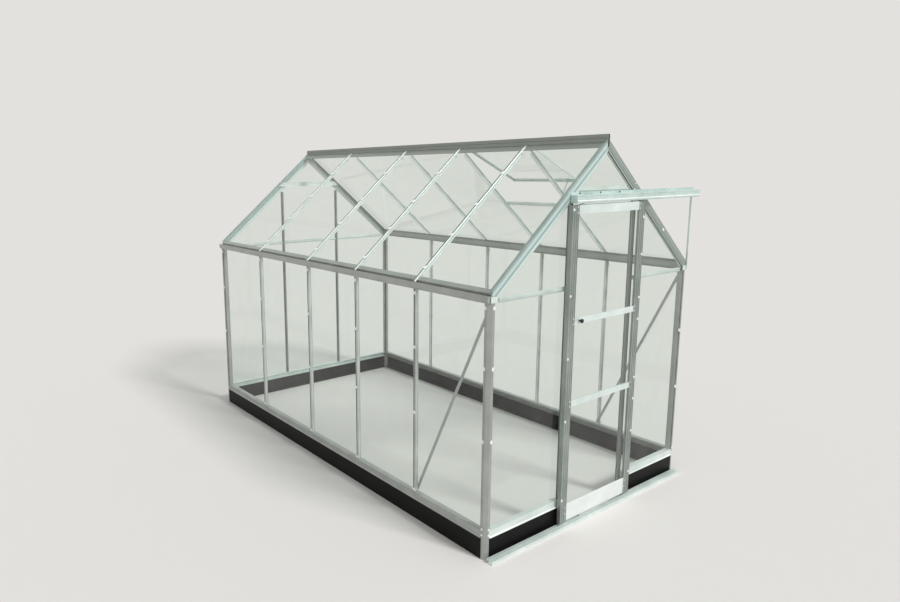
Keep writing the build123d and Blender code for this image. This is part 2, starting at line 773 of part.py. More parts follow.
# Vent sill: a channel across the bay that closes against the vent's bottom rail
sill_plane = Plane(
    origin=(0, vent_stop - pane_edge, ridge_height),
    x_dir=(cos(pitch), 0, -sin(pitch)),
    z_dir=(0, -1, 0),
)
with BuildPart() as vent_sill:
    with BuildSketch(sill_plane):
        with Locations((vent_sill_distance, fit)):
            Rectangle(vent_sill_width, skin, align=(Align.CENTER, Align.MIN))
        with Locations((vent_sill_distance - vent_sill_width / 2, fit)):
            Rectangle(skin, vent_sill_upstand, align=(Align.MIN, Align.MIN))
        with Locations((vent_sill_distance + vent_sill_width / 2, fit)):
            Rectangle(skin, glass + 2 * skin, align=(Align.MAX, Align.MIN))
    extrude(amount=vent_stop - vent_start - 2 * pane_edge)
    # Lug and pin for the lower end of the stay
    with BuildSketch(side_view(pin_plate_y + skin)):
        with Locations(lower_pin):
            Rectangle(2 * stay_width + 2 * skin, 2 * stay_pin_rise - skin, rotation=-degrees(pitch))
    extrude(amount=skin)
    with BuildSketch(side_view(pin_plate_y + skin)):
        with Locations(lower_pin):
            Circle(pin_radius)
    extrude(amount=2 * skin + stay_thickness + fit)
write(vent_sill.part, "vent_sill")

# Vent stay: a flat bar with a row of holes, pinned to the vent and set on the sill's pin
stay_span = hypot(upper_pin[0] - lower_pin[0], upper_pin[1] - lower_pin[1])
stay_slope = degrees(atan2(lower_pin[1] - upper_pin[1], lower_pin[0] - upper_pin[0]))
stay_plane = side_view(stay_y + stay_thickness / 2)
with BuildPart() as vent_stay:
    with BuildSketch(stay_plane):
        with Locations(Location((upper_pin[0], upper_pin[1], 0), (0, 0, stay_slope))):
            with Locations((-stay_width / 2, 0)):
                Rectangle(stay_span + stay_tail, stay_width, align=(Align.MIN, Align.CENTER))
            with Locations((0, 0), (stay_span, 0)):
                Circle(stay_hole, mode=Mode.SUBTRACT)
            with Locations((stay_span - stay_hole_spacing, 0), (stay_span - 2 * stay_hole_spacing, 0)):
                Circle(stay_hole, mode=Mode.SUBTRACT)
            with Locations((stay_span + stay_hole_spacing, 0)):
                Circle(stay_hole, mode=Mode.SUBTRACT)
    extrude(amount=stay_thickness)
write(vent_stay.part, "vent_stay")

# Door track: a channel that opens down through a slot, on a back plate that seats on the gable bars,
# with a stop plate that closes its left end
track_back = front - fit
track_front = track_back - track_depth
track_plane = Plane(origin=(track_right, 0, 0), x_dir=(0, 1, 0), z_dir=(1, 0, 0))
with BuildPart() as door_track:
    with BuildSketch(track_plane) as track_face:
        with Locations((track_back, track_bottom)):
            Rectangle(skin, track_height + track_flange, align=(Align.MAX, Align.MIN))
            Rectangle(track_depth, skin, align=(Align.MAX, Align.MIN))
        with Locations((track_back, track_top)):
            Rectangle(track_depth, skin, align=(Align.MAX, Align.MAX))
        with Locations((track_front, track_bottom)):
            Rectangle(skin, track_height, align=(Align.MIN, Align.MIN))
        with Locations((track_front, track_bottom + track_bead), (track_front, track_top - track_bead)):
            Circle(track_bead / 2)
        with Locations((door_middle, track_bottom)):
            Rectangle(track_slot, 3 * skin, mode=Mode.SUBTRACT)
    extrude(track_face.sketch, amount=-track_left - track_right)
    with Locations((-track_left, track_back, track_bottom)):
        Box(skin, track_depth, track_height, align=(Align.MIN, Align.MAX, Align.MIN))
write(door_track.part, "door_track")

# Strut under the right end of the track, an angle that stands on the end of the gutter
strut_line = track_right - strut_inset - strut_width
strut_top = track_top + track_flange - skin
with BuildPart() as track_strut:
    with Locations((strut_line, front, gutter_floor_height + skin)):
        Box(
            strut_width,
            gable_setback + skin,
            strut_top - gutter_floor_height - skin,
            align=(Align.MIN, Align.MIN, Align.MIN),
        )
        Box(
            skin,
            strut_leg,
            track_bottom - fit - gutter_floor_height - skin,
            align=(Align.MIN, Align.MAX, Align.MIN),
        )
write(track_strut.part, "track_strut")

# Floor track: a threshold along the front with a lip at each edge and two guide ribs for the door's fin
with BuildPart() as floor_track:
    with BuildSketch(Plane(origin=(half, 0, 0), x_dir=(0, 1, 0), z_dir=(1, 0, 0))) as floor_face:
        with Locations((front - fit, 0)):
            Rectangle(floor_track_depth, skin, align=(Align.MAX, Align.MIN))
            Rectangle(skin, floor_track_lip / 2, align=(Align.MAX, Align.MIN))
        with Locations((front - front_reach, 0)):
            Rectangle(skin, floor_track_lip, align=(Align.MIN, Align.MIN))
        rib_line = (guide_gap + skin) / 2
        with Locations((door_middle - rib_line, 0), (door_middle + rib_line, 0)):
            Rectangle(skin, guide_height, align=(Align.CENTER, Align.MIN))
    extrude(floor_face.sketch, amount=-width)
write(floor_track.part, "floor_track")

# Sliding door: each stile is a ribbed tube with a flange at the front that laps over the panes
door_half = door_width / 2
stile_inner = door_half - stile_tube
flange_inner = door_half - stile_width
with BuildPart() as door_stiles:
    for side in (-1, 1):
        stile_corner = (side * door_half, door_front, door_bottom)
        with BuildSketch(Plane(origin=stile_corner, x_dir=(-side, 0, 0), z_dir=(0, 0, -side))):
            Rectangle(stile_tube, door_depth, align=(Align.MIN, Align.MIN))
            Rectangle(stile_width, skin, align=(Align.MIN, Align.MIN))
            rib_spacing = (stile_width - skin) / 3
            for n in range(4):
                with Locations((n * rib_spacing, skin)):
                    Rectangle(skin, skin + stile_rib, align=(Align.MIN, Align.MAX))
            with Locations((skin, skin)):
                Rectangle(
                    stile_tube - 2 * skin,
                    door_depth - 2 * skin,
                    align=(Align.MIN, Align.MIN),
                    mode=Mode.SUBTRACT,
                )
        extrude(amount=-side * (door_top - door_bottom))
write(door_stiles.part, "door_stiles")

# Door rails: tubes between the stiles with a flange that laps over the panes
rail_end = stile_inner - fit
lap_end = flange_inner - fit
door_section = Plane(origin=(rail_end, door_front, 0), x_dir=(0, 1, 0), z_dir=(1, 0, 0))
kick_top = door_bottom + kick_height
stile_lap = stile_width - stile_tube
rail_sizes = (
    (door_top - top_rail_height, top_rail_height, stile_lap, 0.0),
    (middle_rail_centre - middle_rail_height / 2, middle_rail_height, glass_lap, glass_lap),
    (lower_rail_centre - middle_rail_height / 2, middle_rail_height, glass_lap, glass_lap),
)


def door_rail(low, height, lap_below, lap_above):
    """A rail across the door: a tube with its front face drawn out over the pane below and above."""
    tube = height - lap_below - lap_above
    with BuildSketch(door_section) as rail:
        with Locations((0, low)):
            Rectangle(skin, height, align=(Align.MIN, Align.MIN))
        with Locations((0, low + lap_below)):
            Rectangle(door_depth, tube, align=(Align.MIN, Align.MIN))
        with Locations((skin, low + lap_below + skin)):
            Rectangle(
                door_depth - 2 * skin,
                tube - 2 * skin,
                align=(Align.MIN, Align.MIN),
                mode=Mode.SUBTRACT,
            )
    extrude(rail.sketch, amount=-2 * rail_end)


def clear_stile_flanges():
    """Cut the ends of a rail back behind the flanges of the stiles."""
    for side in (-1, 1):
        with Locations((side * lap_end, door_front + skin + fit, 0)):
            Box(
                stile_width,
                door_depth,
                door_top,
                align=(outward(side), Align.MAX, Align.MIN),
                mode=Mode.SUBTRACT,
            )


with BuildPart() as door_rails:
    for sizes in rail_sizes:
        door_rail(*sizes)
    clear_stile_flanges()
write(door_rails.part, "door_rails")

# Kick panel: a rail with a trim bead, a sheet, a rolled lower edge and the fin that runs in the floor track
roll_centre = door_bottom + kick_roll
with BuildPart() as door_kick_panel:
    door_rail(kick_top - kick_rail, kick_rail, 0.0, stile_lap)
    with BuildSketch(door_section) as sheet:
        with Locations((0, roll_centre)):
            Rectangle(skin, kick_height - kick_roll - kick_rail + skin, align=(Align.MIN, Align.MIN))
        with Locations((kick_roll, roll_centre)):
            Circle(kick_roll)
            Circle(kick_roll - skin, mode=Mode.SUBTRACT)
        with Locations((0, kick_top - kick_bead)):
            Circle(kick_bead / 2)
    extrude(sheet.sketch, amount=-2 * rail_end)
    clear_stile_flanges()
    with Locations((0, door_middle, door_bottom + skin / 2)):
        Box(
            fin_length,
            fin_thickness,
            fin_depth + skin / 2,
            align=(Align.CENTER, Align.CENTER, Align.MAX),
        )
write(door_kick_panel.part, "door_kick_panel")

# Door glass: three panes behind the flanges
rail_tops = [kick_top - stile_lap]
rail_tops += [lower_rail_centre + middle_rail_height / 2 - glass_lap]
rail_tops += [middle_rail_centre + middle_rail_height / 2 - glass_lap]
rail_bottoms = [lower_rail_centre - middle_rail_height / 2 + glass_lap]
rail_bottoms += [middle_rail_centre - middle_rail_height / 2 + glass_lap]
rail_bottoms += [door_top - top_rail_height + stile_lap]
with BuildPart() as door_glass:
    for low, high in zip(rail_tops, rail_bottoms):
        with Locations((0, door_front + skin + fit, low + pane_gap)):
            Box(
                2 * (stile_inner - pane_gap),
                glass,
                high - low - 2 * pane_gap,
                align=(Align.CENTER, Align.MIN, Align.MIN),
            )
write(door_glass.part, "door_glass")

# Door hangers: a plate on a foot, with an axle and a wheel on each side that runs on the track's lips
axle_height = track_bottom + skin + fit + wheel_radius
hanger_foot = door_top + fit
with BuildPart() as door_hangers:
    for x in (hanger_inset - door_half, door_half - hanger_inset):
        with Locations((x, door_middle, hanger_foot)):
            Box(
                hanger_width,
                door_depth - 2 * skin,
                hanger_plate,
                align=(Align.CENTER, Align.CENTER, Align.MIN),
            )
            Box(
                hanger_width / 2,
                hanger_plate,
                axle_height + wheel_radius - hanger_foot,
                align=(Align.CENTER, Align.CENTER, Align.MIN),
            )
        with BuildSketch(gable_view(-1)) as axle:
            with Locations((x, axle_height)):
                Circle(axle_radius)
        with BuildSketch(gable_view(-1)) as wheel:
            with Locations((x, axle_height)):
                Circle(wheel_radius)
        axle_end = wheel_spacing / 2 + wheel_thickness / 2
        extrude(axle.sketch.translate((0, door_middle - front + axle_end, 0)), amount=2 * axle_end)
        for turn in (-1, 1):
            wheel_back = door_middle + turn * wheel_spacing / 2 + wheel_thickness / 2
            extrude(wheel.sketch.translate((0, wheel_back - front, 0)), amount=wheel_thickness)
write(door_hangers.part, "door_hangers")

# Knob on the middle rail: a neck and a bevelled head, turned about the line square to the door
knob_place = (knob_inset - door_half, door_front, middle_rail_centre)
with BuildPart() as door_knob:
    with BuildSketch(Plane(origin=knob_place, x_dir=(1, 0, 0), z_dir=(0, 0, 1))):
        Polygon(
            (0, -fit),
            (knob_neck, -fit),
            (knob_neck, -knob_length / 2),
            (knob_radius - knob_bevel, -knob_length / 2),
            (knob_radius, -knob_length / 2 - knob_bevel),
            (knob_radius, knob_bevel - knob_length),
            (knob_radius - knob_bevel, -knob_length),
            (0, -knob_length),
            align=None,
        )
    revolve(axis=Axis(knob_place, (0, 1, 0)))
write(door_knob.part, "door_knob")
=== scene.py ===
from math import atan2, cos, pi, radians, sin

import bmesh
import bpy
from mathutils import Matrix, Vector


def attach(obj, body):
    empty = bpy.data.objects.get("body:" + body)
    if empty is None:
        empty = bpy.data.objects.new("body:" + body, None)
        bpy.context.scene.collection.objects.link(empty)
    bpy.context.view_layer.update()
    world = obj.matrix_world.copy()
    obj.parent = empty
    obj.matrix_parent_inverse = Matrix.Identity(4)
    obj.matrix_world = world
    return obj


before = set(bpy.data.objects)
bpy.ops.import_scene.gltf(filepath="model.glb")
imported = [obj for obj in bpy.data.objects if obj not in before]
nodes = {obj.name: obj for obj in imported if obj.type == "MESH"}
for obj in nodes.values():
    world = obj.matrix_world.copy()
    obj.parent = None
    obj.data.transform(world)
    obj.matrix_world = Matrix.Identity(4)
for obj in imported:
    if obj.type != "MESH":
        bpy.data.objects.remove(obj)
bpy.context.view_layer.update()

# The plinth: a folded steel channel on all four sides, which stands on the ground and carries the
# aluminium sill. It is powder coated black, so it is smooth with a satin sheen, and dusty near the ground.
mm = 0.001
COATING_BLACK = "#070607"
GROUND_DUST = "#5b544c"
SPLASH_HEIGHT = 70 * mm
SPLASH_SIZE = 26 * mm
DUST_SHARE = 0.3  # where the dust lies thickest


def linear(code):
    """An sRGB hex colour as linear values with full opacity."""
    channels = [int(code[i : i + 2], 16) / 255 for i in (1, 3, 5)]
    return [c / 12.92 if c <= 0.04045 else ((c + 0.055) / 1.055) ** 2.4 for c in channels] + [1.0]


def add(tree, kind, inputs, **settings):
    """Add a node with its settings, and with values or links on its inputs."""
    node = tree.nodes.new(kind)
    for name, value in settings.items():
        setattr(node, name, value)
    for key, value in inputs.items():
        if isinstance(value, bpy.types.NodeSocket):
            tree.links.new(value, node.inputs[key])
        else:
            node.inputs[key].default_value = value
    return node.outputs


def new_finish(name):
    """A node material with nothing in it but its output, its tree, and that output's surface socket."""
    finish = bpy.data.materials.new(name)
    finish.use_nodes = True
    tree = finish.node_tree
    tree.nodes.clear()
    return finish, tree, tree.nodes.new("ShaderNodeOutputMaterial").inputs["Surface"]


def dress(names, finish):
    """Give CAD nodes their finish."""
    for name in names:
        nodes[name].material_slots[0].material = finish


coated_steel, tree, surface = new_finish("powder_coated_steel_black")
place = add(tree, "ShaderNodeTexCoord", {})["Object"]
height = add(tree, "ShaderNodeSeparateXYZ", {0: place})["Z"]
splashes = add(
    tree, "ShaderNodeTexNoise", {"Vector": place, "Scale": 1 / SPLASH_SIZE, "Detail": 6.0, "Roughness": 0.65}
)["Fac"]
low_down = add(tree, "ShaderNodeMapRange", {0: height, 1: 0.0, 2: SPLASH_HEIGHT, 3: 0.55, 4: 0.08})[0]
dusty = add(tree, "ShaderNodeMath", {0: splashes, 1: low_down}, operation="MULTIPLY")[0]
dusty = add(tree, "ShaderNodeMapRange", {0: dusty, 1: 0.16, 2: 0.6, 3: 0.0, 4: DUST_SHARE})[0]
colour = add(
    tree, "ShaderNodeMix", {0: dusty, 6: linear(COATING_BLACK), 7: linear(GROUND_DUST)}, data_type="RGBA"
)[2]
roughness = add(tree, "ShaderNodeMapRange", {0: dusty, 1: 0.0, 2: DUST_SHARE, 3: 0.42, 4: 0.75})[0]
coating = add(
    tree,
    "ShaderNodeBsdfPrincipled",
    {"Base Color": colour, "Roughness": roughness, "Specular IOR Level": 0.15},
)[0]
tree.links.new(coating, surface)
dress(["base_left", "base_right", "base_rear", "base_front"], coated_steel)

# The sill: a channel with a drip edge on all four sides, which sits on the plinth. Like the rest of the frame
# it is extruded aluminium with a mill finish that has weathered outdoors: fine die lines run along it, and a
# dull oxide bloom in soft patches leaves a muted shine. Its two long sides are painted a darker grey than
# its front and rear, as painted shade.
MILL_LIGHT = "#e9f0ed"
MILL_DARK = "#ccd7d3"
# Painted shade: the darker grey of the long sides.
SHADED_SIDE_LIGHT = "#b8bcb8"
SHADED_SIDE_DARK = "#9da19d"
DIE_LINE = 2.2 * mm  # drawn coarser than the real lines, which are too fine to show
DIE_RUN = 420 * mm
BLOOM_PATCH = 160 * mm
WORN_FROM = 0.45
WORN_TO = 0.95
EDGE_ROUND = 0.8 * mm
CROSSWISE = (0, 0, 0)
LENGTHWISE = (0, 0, pi / 2)


def mill_aluminium(name, turn, light=MILL_LIGHT, dark=MILL_DARK, patch=BLOOM_PATCH, marks=None):
    """Weathered mill-finish aluminium, with its die lines along X once its coordinates are turned.

    The patches of bloom have a size. Marks are a function that gives further layers of colour by place,
    each with its share and its tone.
    """
    finish, tree, surface = new_finish(name)
    place = add(tree, "ShaderNodeTexCoord", {})["Object"]
    turned = add(tree, "ShaderNodeMapping", {"Vector": place, "Rotation": turn})[0]
    drawn = add(
        tree, "ShaderNodeMapping", {"Vector": turned, "Scale": (1 / DIE_RUN, 1 / DIE_LINE, 1 / DIE_LINE)}
    )[0]
    lines = add(
        tree, "ShaderNodeTexNoise", {"Vector": drawn, "Scale": 1.0, "Detail": 3.0, "Roughness": 0.6}
    )[0]
    bloom = add(
        tree, "ShaderNodeTexNoise", {"Vector": place, "Scale": 1 / patch, "Detail": 5.0, "Roughness": 0.6}
    )[0]
    worn = add(tree, "ShaderNodeMath", {0: lines, 1: 0.35, 2: bloom}, operation="MULTIPLY_ADD")[0]
    shade = add(tree, "ShaderNodeMapRange", {0: worn, 1: WORN_FROM, 2: WORN_TO, 3: 0.0, 4: 1.0})[0]
    colour = add(tree, "ShaderNodeMix", {0: shade, 6: linear(dark), 7: linear(light)}, data_type="RGBA")[2]
    if marks:
        spot = add(tree, "ShaderNodeSeparateXYZ", {0: place})
        for share, tone in marks(tree, spot):
            layer = {0: share, 6: colour, 7: linear(tone)}
            colour = add(tree, "ShaderNodeMix", layer, data_type="RGBA")[2]
    roughness = add(tree, "ShaderNodeMapRange", {0: worn, 1: WORN_FROM, 2: WORN_TO, 3: 0.36, 4: 0.55})[0]
    rounded = add(tree, "ShaderNodeBevel", {"Radius": EDGE_ROUND}, samples=3)[0]
    scored = add(
        tree, "ShaderNodeBump", {"Strength": 0.12, "Distance": 0.4 * mm, "Height": lines, "Normal": rounded}
    )[0]
    metal = add(
        tree,
        "ShaderNodeBsdfPrincipled",
        {"Base Color": colour, "Roughness": roughness, "Metallic": 0.45, "Normal": scored},
    )[0]
    tree.links.new(metal, surface)
    return finish


crosswise = mill_aluminium("mill_aluminium_crosswise", CROSSWISE)
lengthwise = mill_aluminium("mill_aluminium_lengthwise", LENGTHWISE, SHADED_SIDE_LIGHT, SHADED_SIDE_DARK)
dress(["sill_front", "sill_rear"], crosswise)
dress(["sill_left", "sill_right"], lengthwise)

# Corner posts, door posts and rear posts: extruded aluminium uprights that stand on the sill. They have
# the mill finish of the long sills, painted a little darker still, as painted shade.
POST_LIGHT = "#b2b6b1"
POST_DARK = "#959994"
UPRIGHT = (0, pi / 2, 0)
shaded_upright = mill_aluminium("mill_aluminium_shaded_upright", UPRIGHT, POST_LIGHT, POST_DARK)
dress(["front_corner_posts", "rear_corner_posts", "door_posts", "rear_posts"], shaded_upright)

# Eave ties and cross rails: level aluminium sections that join the posts of each gable at the eaves and above
# the door. They have the light finish of the front sill.
dress(["front_eave_ties", "rear_eave_ties", "front_cross_rail", "rear_cross_rail"], crosswise)

# Gutters and braces: the gutters are extruded channels, open at the top, that run along both eaves, and the
# braces are flat strips across the front bay of both long walls. They are painted the darker grey of the long
# sills, as painted shade.
dress(["left_gutter", "right_gutter", "wall_braces"], lengthwise)

# Wall bars and roof bars: extruded aluminium sections with two thin ribs, one pair to each joint between
# panes. They are painted the palest of the frame, as painted light, and painted shade lies in a dark line
# between their ribs, on the outside only.
# Painted light: the bars are painted paler than the rest of the frame.
WALL_BAR_LIGHT = "#e9ece8"
WALL_BAR_DARK = "#c9cdc9"
BAR_LIGHT = "#f2f6f5"
BAR_DARK = "#d9dfdd"
# Painted shade in the grooves between the ribs.
GROOVE_SHADE = "#515857"
GROOVE_HALF = 4 * mm
GROOVE_SHARE = 0.85
FRONT = -1671.85 * mm  # the front gable's outer face
BAR_LINES = [FRONT + run * mm for run in (620, 1240, 1860, 2630)]  # between the side's five bays
HALF = 965 * mm  # from the middle to the side wall's outer face
SEAT_DEPTH = 8 * mm
SEAT = HALF - SEAT_DEPTH  # where the wall panes lie
EAVE_HEIGHT = 1520 * mm
RIDGE_HEIGHT = 2335 * mm
ROOF_PITCH = atan2(RIDGE_HEIGHT - EAVE_HEIGHT, HALF)


def depth_under(tree, spot, pitch, distance):
    """How deep a point lies inside a side of the house that has a pitch and a distance from the middle."""
    out = add(tree, "ShaderNodeMath", {0: spot["X"]}, operation="ABSOLUTE")[0]
    drop = add(tree, "ShaderNodeMath", {0: RIDGE_HEIGHT, 1: spot["Z"]}, operation="SUBTRACT")[0]
    inwards = add(
        tree, "ShaderNodeMath", {0: out, 1: -sin(pitch), 2: distance}, operation="MULTIPLY_ADD"
    )[0]
    return add(tree, "ShaderNodeMath", {0: drop, 1: cos(pitch), 2: inwards}, operation="MULTIPLY_ADD")[0]


def groove_shade(tree, spot, pitch, distance):
    """Layers of painted shade between the two ribs of each bar of a side."""
    rim = {1: 1.05 * GROOVE_HALF, 2: 1.15 * GROOVE_HALF, 3: GROOVE_SHARE, 4: 0.0}
    under = depth_under(tree, spot, pitch, distance)
    outside = add(tree, "ShaderNodeMapRange", {0: under, 1: 0.2 * mm, 2: 0.6 * mm, 3: 1.0, 4: 0.0})[0]
    layers = []
    for line in BAR_LINES:
        off = add(tree, "ShaderNodeMath", {0: spot["Y"], 1: line}, operation="SUBTRACT")[0]
        off = add(tree, "ShaderNodeMath", {0: off}, operation="ABSOLUTE")[0]
        inside = add(tree, "ShaderNodeMapRange", {0: off, **rim})[0]
        share = add(tree, "ShaderNodeMath", {0: inside, 1: outside}, operation="MULTIPLY")[0]
        layers.append((share, GROOVE_SHADE))
    return layers


def wall_groove_shade(tree, spot):
    """The painted shade in the wall bars' grooves, outside the panes."""
    return groove_shade(tree, spot, pi / 2, SEAT)


def roof_groove_shade(tree, spot):
    """The painted shade in the roof bars' grooves, above the panes."""
    return groove_shade(tree, spot, ROOF_PITCH, 0.0)


LEFT_SLOPE = (0, ROOF_PITCH, 0)
RIGHT_SLOPE = (0, -ROOF_PITCH, 0)
wall_bar = mill_aluminium(
    "mill_aluminium_wall_bars", UPRIGHT, WALL_BAR_LIGHT, WALL_BAR_DARK, marks=wall_groove_shade
)
left_slope = mill_aluminium("mill_aluminium_left_slope", LEFT_SLOPE, BAR_LIGHT, BAR_DARK, marks=roof_groove_shade)
right_slope = mill_aluminium("mill_aluminium_right_slope", RIGHT_SLOPE, BAR_LIGHT, BAR_DARK, marks=roof_groove_shade)
dress(["left_wall_bars", "right_wall_bars"], wall_bar)
dress(["left_roof_bars"], left_slope)
dress(["right_roof_bars"], right_slope)

# Gable bars: aluminium edge sections along both slopes of each gable. Their faces are painted in light and
# dark bands below the line of the roof, the painted shade of a groove and the painted highlight of a lip, and
# those on the right-hand side are painted a duller grey, as painted shade.
GABLE_LIGHT = "#b0bfbb"
GABLE_DARK = "#94a4a1"
GABLE_SHADE_BANDS = [(4 * mm, "#c9dcdb"), (24 * mm, "#96a9a7"), (37 * mm, "#e4f2ec")]  # each from its depth down
BAND_EDGE = 1.5 * mm
BAND_SHARE = 0.8
RIGHT_SHADE = "#8f948e"
RIGHT_SHADE_SHARE = 0.7


def gable_shading_bands(tree, spot):
    """Painted shade and highlight in bands below the line of the roof, and painted shade on the right-hand
    side.
    """
    under = depth_under(tree, spot, ROOF_PITCH, 0.0)
    layers = []
    for depth, tone in GABLE_SHADE_BANDS:
        band = {1: depth, 2: depth + BAND_EDGE, 3: 0.0, 4: BAND_SHARE}
        layers.append((add(tree, "ShaderNodeMapRange", {0: under, **band})[0], tone))
    right_half = {1: -5 * mm, 2: 5 * mm, 3: 0.0, 4: RIGHT_SHADE_SHARE}
    layers.append((add(tree, "ShaderNodeMapRange", {0: spot["X"], **right_half})[0], RIGHT_SHADE))
    return layers


gable_slope = mill_aluminium(
    "mill_aluminium_gable", RIGHT_SLOPE, GABLE_LIGHT, GABLE_DARK, marks=gable_shading_bands
)
dress(["front_gable_bars", "rear_gable_bars"], gable_slope)

# The ridge: two lengths of extruded aluminium with a hinge bead for the vent along the top. It is painted
# darker than anything else of the frame, as painted shade.
RIDGE_LIGHT = "#989e98"
RIDGE_DARK = "#8b918b"
dress(["ridge"], mill_aluminium("mill_aluminium_ridge", LENGTHWISE, RIDGE_LIGHT, RIDGE_DARK))

# The roof vent: an aluminium frame that hooks on the ridge and is propped open by its stay, above a sill
# between two roof bars. It has the light finish of the front sill.
VENT_PITCH = radians(24.7)
dress(["vent_frame", "vent_stay"], mill_aluminium("mill_aluminium_vent", (0, -VENT_PITCH, 0)))
dress(["vent_sill"], crosswise)

# The bolts that hold the sill to the corner posts: zinc-plated steel, cold headed, with a shallow domed top
# and a small recess. There are two on each outer face of each corner.
REAR = 1728.15 * mm  # the rear gable's outer face
HEAD_SIDES = 16
SILL_BOLT_HEAD = (6.5 * mm, 3.0 * mm)  # radius and height
SILL_BOLT_INSET = 27 * mm
SILL_BOLT_LEVELS = (148 * mm, 183 * mm)
PLATED = "#fcfdfd"
PLATED_DULL = "#dde1df"
SPANGLE_SIZE = 3.85 * mm


def pick(kind, test):
    """In edit mode, select only the faces or edges whose middle passes a test."""
    shape = bmesh.from_edit_mesh(bpy.context.object.data)
    for group in (shape.faces, shape.edges, shape.verts):
        for part in group:
            part.select = False
    for part in getattr(shape, kind):
        middle = sum((corner.co for corner in part.verts), Vector()) / len(part.verts)
        if test(middle):
            part.select_set(True)
    bmesh.update_edit_mesh(bpy.context.object.data)


def start_shape(kind, **settings):
    """Add a primitive with nothing else selected, and enter edit mode."""
    bpy.ops.object.select_all(action="DESELECT")
    getattr(bpy.ops.mesh, kind)(**settings)
    bpy.ops.object.mode_set(mode="EDIT")
    return bpy.context.object


def finish_shape(shape, bevel=0.0):
    """Leave edit mode, apply a bevel and the object's own place, and shade the gentle edges smooth."""
    bpy.ops.object.mode_set(mode="OBJECT")
    if bevel:
        edges = shape.modifiers.new("edges", "BEVEL")
        edges.width = bevel
        edges.segments = 1
        edges.limit_method = "ANGLE"
        bpy.ops.object.modifier_apply(modifier=edges.name)
    bpy.ops.object.transform_apply(location=True, rotation=True, scale=True)
    bpy.ops.object.shade_smooth_by_angle(angle=radians(40))
    return shape


def screw_head(radius, height):
    """A domed head that stands on Z = 0, with a shallow recess."""
    head = start_shape(
        "primitive_cylinder_add",
        vertices=HEAD_SIDES,
        radius=radius,
        depth=height,
        location=(0, 0, height / 2),
    )
    pick("faces", lambda middle: middle.z > height * 0.9 - height / 2)
    bpy.ops.mesh.inset(thickness=radius * 0.3)
    bpy.ops.transform.translate(value=(0, 0, height * 0.2))
    bpy.ops.mesh.inset(thickness=radius * 0.3)
    bpy.ops.mesh.extrude_region_move(TRANSFORM_OT_translate={"value": (0, 0, -height * 0.5)})
    bpy.ops.transform.resize(value=(0.9, 0.9, 1.0))
    return finish_shape(head)


def fix(piece, name, finish, body="house"):
    """Name a finished piece, give it its finish and let it move with a body."""
    piece.name = name
    piece.data.name = name
    piece.data.materials.clear()
    piece.data.materials.append(finish)
    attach(piece, body)


def set_out(pattern, name, places, finish, body="house"):
    """Set a copy of a modelled piece at each place, with a mesh of its own, and remove the first one."""
    for number, place in enumerate(places, 1):
        piece = pattern.copy()
        piece.data = pattern.data.copy()
        piece.data.transform(place)
        bpy.context.scene.collection.objects.link(piece)
        fix(piece, f"{name}_{number:02d}", finish, body)
    bpy.data.objects.remove(pattern)


def facing(place, outwards, along=(0, 0, 1)):
    """Where a small piece goes: its Z turned outwards, and its Y along the part that it sits on."""
    z = Vector(outwards).normalized()
    x = Vector(along).cross(z).normalized()
    y = z.cross(x)
    return Matrix.Translation(Vector(place)) @ Matrix((x, y, z)).transposed().to_4x4()


plated_steel, tree, surface = new_finish("zinc_plated_steel")
place = add(tree, "ShaderNodeTexCoord", {})["Object"]
mottle = add(tree, "ShaderNodeTexNoise", {"Vector": place, "Scale": 1 / SPANGLE_SIZE, "Detail": 4.0})["Fac"]
colour = add(
    tree, "ShaderNodeMix", {0: mottle, 6: linear(PLATED_DULL), 7: linear(PLATED)}, data_type="RGBA"
)[2]
roughness = add(tree, "ShaderNodeMapRange", {0: mottle, 1: 0.3, 2: 0.7, 3: 0.25, 4: 0.42})[0]
metal = add(
    tree, "ShaderNodeBsdfPrincipled", {"Base Color": colour, "Roughness": roughness, "Metallic": 0.15}
)[0]
tree.links.new(metal, surface)

sill_places = []
for side in (-1, 1):
    for y in (FRONT + SILL_BOLT_INSET, REAR - SILL_BOLT_INSET):
        sill_places += [facing((side * HALF, y, z), (side, 0, 0)) for z in SILL_BOLT_LEVELS]
    for z in SILL_BOLT_LEVELS:
        for y, turn in ((FRONT, -1), (REAR, 1)):
            sill_places.append(facing((side * (HALF - SILL_BOLT_INSET), y, z), (0, turn, 0)))
set_out(screw_head(*SILL_BOLT_HEAD), "sill_bolt", sill_places, plated_steel)

# Corner plates at the eaves: pressed aluminium plates that tie the gable bar, the corner post and the eave
# tie together at each end of both gutters, each with two bolts.
PLATE_WIDTH = 48 * mm
PLATE_HEIGHT = 34 * mm
PLATE_SKIN = 1.5 * mm
PLATE_CORNER = 5 * mm
PLATE_EDGE = 0.3 * mm
PLATE_INSET = 29 * mm
PLATE_LEVEL = 1495 * mm
PLATE_BOLT_HEAD = (4.0 * mm, 2.2 * mm)
PLATE_BOLT_STEP = 13 * mm
PLATE_BOLT_RISE = 0.3  # of that step, towards the middle
plate = start_shape("primitive_cube_add", size=1.0, location=(0, 0, PLATE_SKIN / 2))
bpy.ops.transform.resize(value=(PLATE_WIDTH, PLATE_HEIGHT, PLATE_SKIN))
pick("edges", lambda middle: abs(middle.x) > 0.45 * PLATE_WIDTH and abs(middle.y) > 0.45 * PLATE_HEIGHT)
bpy.ops.mesh.bevel(offset=PLATE_CORNER, segments=3, affect="EDGES")
plate = finish_shape(plate, PLATE_EDGE)
plate_places = []
plate_bolts = []
